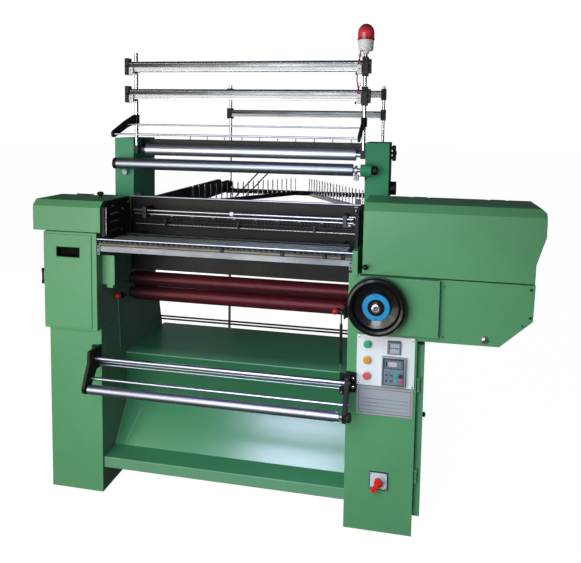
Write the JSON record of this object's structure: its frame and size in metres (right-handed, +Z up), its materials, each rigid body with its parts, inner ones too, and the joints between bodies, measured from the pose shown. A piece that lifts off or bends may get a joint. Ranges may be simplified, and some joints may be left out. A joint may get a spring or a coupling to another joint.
{
  "type": "crochet knitting machine",
  "caption": "Floor-standing crochet knitting machine: two sheet-metal legs, geared drive case with handwheel, needle bed, feed and take-down rollers, yarn rails and a rear yarn frame.",
  "frame": {"origin": "middle of the footprint on the floor", "axes": "+X to the right seen from the operator, +Y to the back, +Z up"},
  "size_m": [1.8, 1.7099, 1.79],
  "materials": {
    "green_paint": "gloss enamel, light orange peel",
    "tray_paint": "gloss enamel",
    "black_paint": "satin black",
    "chrome": "polished",
    "steel": "ground",
    "grey_metal": "machined",
    "dark_steel": "oiled",
    "red_rubber": "ground rubber cover",
    "black_plastic": "moulded",
    "black_rubber": "belt",
    "blue_plastic": "moulded",
    "panel_white": "satin white",
    "device_grey": "moulded",
    "plate_grey": "anodised",
    "lamp_white": "moulded",
    "lamp_red": "clear red moulding",
    "wire_red": "insulation",
    "motor_grey": "painted casting",
    "button_green": "moulded",
    "button_orange": "moulded",
    "button_red": "moulded",
    "lever": "black arm with a red ball"
  },
  "bodies": {
    "machine": {"left_leg": "green_paint", "left_case": "green_paint", "head_plates": "black_paint", "right_leg": "green_paint", "right_case": "green_paint", "wheel_panel": "green_paint", "right_side_plate": "green_paint", "control_plate": "panel_white", "panel_units": "device_grey", "blank_nameplate": "plate_grey", "switch_plate": "plate_grey", "fabric_tray": "tray_paint", "back_beam": "black_paint", "left_post": "green_paint", "right_post": "green_paint", "front_rods": "chrome", "stop_rails": "grey_metal", "rail_clamps": "black_plastic", "guide_arms": "black_paint", "guide_rods": "chrome", "beacon_base": "lamp_white", "beacon_dome": "lamp_red", "wiring": "wire_red", "creel_uprights": "chrome", "creel_rails": "black_paint", "creel_stays": "black_paint", "creel_pins": "steel", "needle_bed": "dark_steel", "front_bars": "chrome", "bearing_blocks": "grey_metal", "batch_brackets": "black_paint", "motor": "motor_grey", "belt": "black_rubber", "screws": "steel", "post_fittings": "black_plastic"},
    "wheel": {"handwheel": "black_plastic", "wheel_ring": "blue_plastic", "wheel_hub": "chrome"},
    "motor_shaft": {"motor_pulley": "steel"},
    "cams": {"cam_shaft": "steel"},
    "right_hood": {"right_cover": "green_paint"},
    "left_hood": {"left_cover": "green_paint"},
    "case_door": {"left_door": "green_paint"},
    "cabinet": {"cabinet_door": "green_paint"},
    "start_button": {"button_green": "button_green"},
    "jog_button": {"button_orange": "button_orange"},
    "stop_button": {"button_red": "button_red"},
    "main_switch": {"switch_knob": "button_red"},
    "feed_upper": {"feed_roller_upper": "chrome"},
    "feed_lower": {"feed_roller_lower": "chrome"},
    "takedown_upper": {"takedown_roller_upper": "red_rubber"},
    "takedown_lower": {"takedown_roller_lower": "red_rubber"},
    "batch": {"batch_roller": "chrome"},
    "lever_left": {"ball_lever_left": "lever"},
    "lever_right": {"ball_lever_right": "lever"},
    "link_left": {"link_rod_left": "steel"},
    "link_right": {"link_rod_right": "black_paint"},
    "needles": {"needle_bar": "steel"},
    "weft_upper": {"weft_bar_upper": "chrome"},
    "weft_lower": {"weft_bar_lower": "chrome"}
  },
  "joints": [
    {"name": "wheel_turn", "type": "hinge", "parent": "machine", "child": "wheel", "pos_m": [0.3765, -0.789, 0.82], "axis": [0, 1, 0], "continuous": true},
    {"name": "motor_turn", "type": "hinge", "parent": "machine", "child": "motor_shaft", "pos_m": [0.396, -0.654, 0.25], "axis": [0, 1, 0], "continuous": true},
    {"name": "cam_turn", "type": "hinge", "parent": "machine", "child": "cams", "pos_m": [0.577, -0.619, 1.015], "axis": [1, 0, 0], "continuous": true},
    {"name": "right_hood_lift", "type": "hinge", "parent": "machine", "child": "right_hood", "pos_m": [0.577, -0.498, 1.1475], "axis": [-1, 0, 0], "range_deg": [0, 45]},
    {"name": "left_hood_lift", "type": "hinge", "parent": "machine", "child": "left_hood", "pos_m": [-0.744, -0.557, 1.119], "axis": [-1, 0, 0], "range_deg": [0, 60]},
    {"name": "case_door_swing", "type": "hinge", "parent": "machine", "child": "case_door", "pos_m": [-0.862, -0.76, 0.83], "axis": [0, 0, -1], "range_deg": [0, 100]},
    {"name": "cabinet_door_swing", "type": "hinge", "parent": "machine", "child": "cabinet", "pos_m": [0.52, -0.716, 0.38], "axis": [0, 0, -1], "range_deg": [0, 110]},
    {"name": "start_button_press", "type": "slide", "parent": "machine", "child": "start_button", "axis": [0, 1, 0], "range_m": [0, 0.003], "stiffness_N_per_m": 400},
    {"name": "jog_button_press", "type": "slide", "parent": "machine", "child": "jog_button", "axis": [0, 1, 0], "range_m": [0, 0.003], "stiffness_N_per_m": 400},
    {"name": "stop_button_press", "type": "slide", "parent": "machine", "child": "stop_button", "axis": [0, 1, 0], "range_m": [0, 0.003], "stiffness_N_per_m": 400},
    {"name": "main_switch_turn", "type": "hinge", "parent": "machine", "child": "main_switch", "pos_m": [0.396, -0.744, 0.188], "axis": [0, 1, 0], "range_deg": [0, 90]},
    {"name": "feed_upper_turn", "type": "hinge", "parent": "machine", "child": "feed_upper", "pos_m": [-0.184, -0.399, 1.2985], "axis": [1, 0, 0], "continuous": true},
    {"name": "feed_lower_turn", "type": "hinge", "parent": "machine", "child": "feed_lower", "pos_m": [-0.184, -0.489, 1.245], "axis": [1, 0, 0], "continuous": true},
    {"name": "takedown_upper_turn", "type": "hinge", "parent": "machine", "child": "takedown_upper", "pos_m": [-0.184, -0.479, 0.776], "axis": [1, 0, 0], "continuous": true},
    {"name": "takedown_lower_turn", "type": "hinge", "parent": "machine", "child": "takedown_lower", "pos_m": [-0.184, -0.479, 0.716], "axis": [1, 0, 0], "continuous": true},
    {"name": "batch_turn", "type": "hinge", "parent": "machine", "child": "batch", "pos_m": [-0.184, -0.834, 0.451], "axis": [1, 0, 0], "continuous": true},
    {"name": "lever_left_lift", "type": "hinge", "parent": "machine", "child": "lever_left", "pos_m": [-0.637, -0.577, 0.728], "axis": [-1, 0, 0], "range_deg": [0, 28]},
    {"name": "lever_right_lift", "type": "hinge", "parent": "machine", "child": "lever_right", "pos_m": [0.222, -0.579, 0.73], "axis": [-1, 0, 0], "range_deg": [0, 28]},
    {"name": "link_left_swing", "type": "hinge", "parent": "lever_left", "child": "link_left", "pos_m": [-0.6405, -0.605, 0.734], "axis": [1, 0, 0], "range_deg": [-12, 12]},
    {"name": "link_right_swing", "type": "hinge", "parent": "lever_right", "child": "link_right", "pos_m": [0.24, -0.607, 0.736], "axis": [1, 0, 0], "range_deg": [-12, 12]},
    {"name": "needle_bar_stroke", "type": "slide", "parent": "machine", "child": "needles", "axis": [0, -1, 0], "range_m": [-0.004, 0.012]},
    {"name": "weft_upper_shog", "type": "slide", "parent": "machine", "child": "weft_upper", "axis": [1, 0, 0], "range_m": [-0.008, 0.008]},
    {"name": "weft_lower_shog", "type": "slide", "parent": "machine", "child": "weft_lower", "axis": [1, 0, 0], "range_m": [-0.008, 0.008]}
  ],
  "couplings": [
    {"joint": "motor_turn", "follows": "wheel_turn", "ratio": 2.2941},
    {"joint": "cam_turn", "follows": "wheel_turn", "ratio": 1},
    {"joint": "takedown_lower_turn", "follows": "takedown_upper_turn", "ratio": -1}
  ]
}
